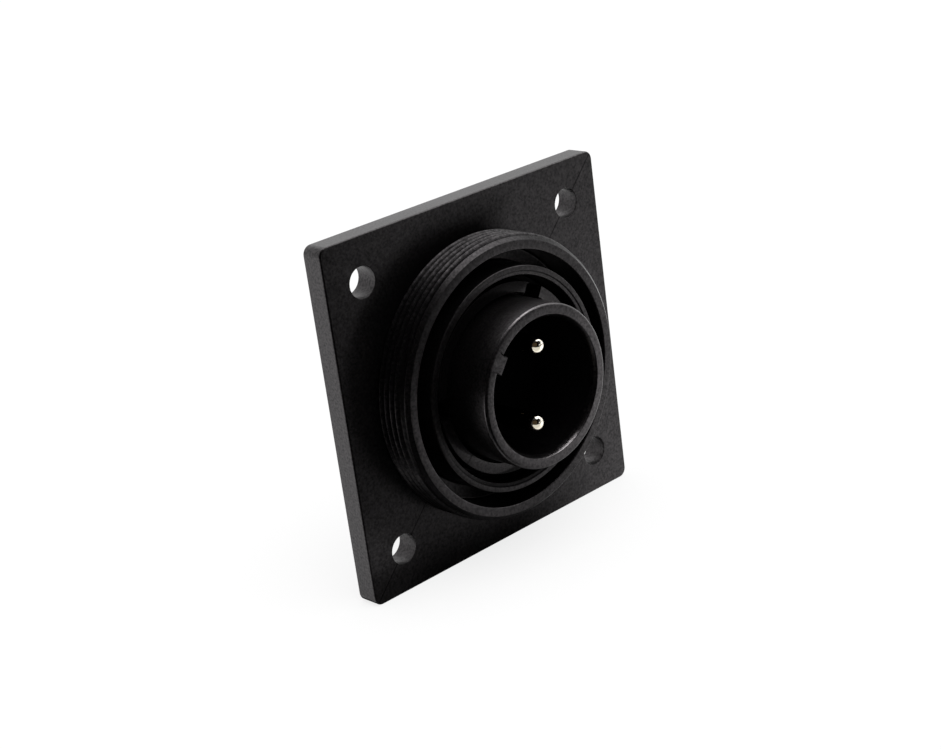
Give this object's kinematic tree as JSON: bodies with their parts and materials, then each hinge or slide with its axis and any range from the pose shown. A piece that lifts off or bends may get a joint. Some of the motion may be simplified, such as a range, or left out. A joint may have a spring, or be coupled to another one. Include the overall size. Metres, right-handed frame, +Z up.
{
  "type": "circular connector receptacle",
  "caption": "Square-flange panel receptacle of a screw-coupled circular connector, with round pins inside a keyed insulating tube and solder cups behind the panel.",
  "frame": {"origin": "centre of the flange's back face, on the connector's axis", "axes": "+Z up along the flange, +Y along the axis into the panel, so the pins and the mating side face -Y"},
  "size_m": [0.04, 0.0222, 0.04],
  "materials": {
    "body_plastic": "fine moulded grain",
    "carrier_plastic": "satin moulded",
    "ring_plastic": "satin moulded",
    "contact_metal": "bright nickel plate over brass",
    "seal_rubber": "matt"
  },
  "bodies": {
    "root": {"flange_body": "body_plastic", "contact_carrier": "carrier_plastic", "retaining_ring": "ring_plastic", "pin_contact_upper": "contact_metal", "pin_contact_lower": "contact_metal", "rear_insulator": "carrier_plastic", "carrier_seal": "seal_rubber", "panel_seal": "seal_rubber"}
  },
  "joints": []
}
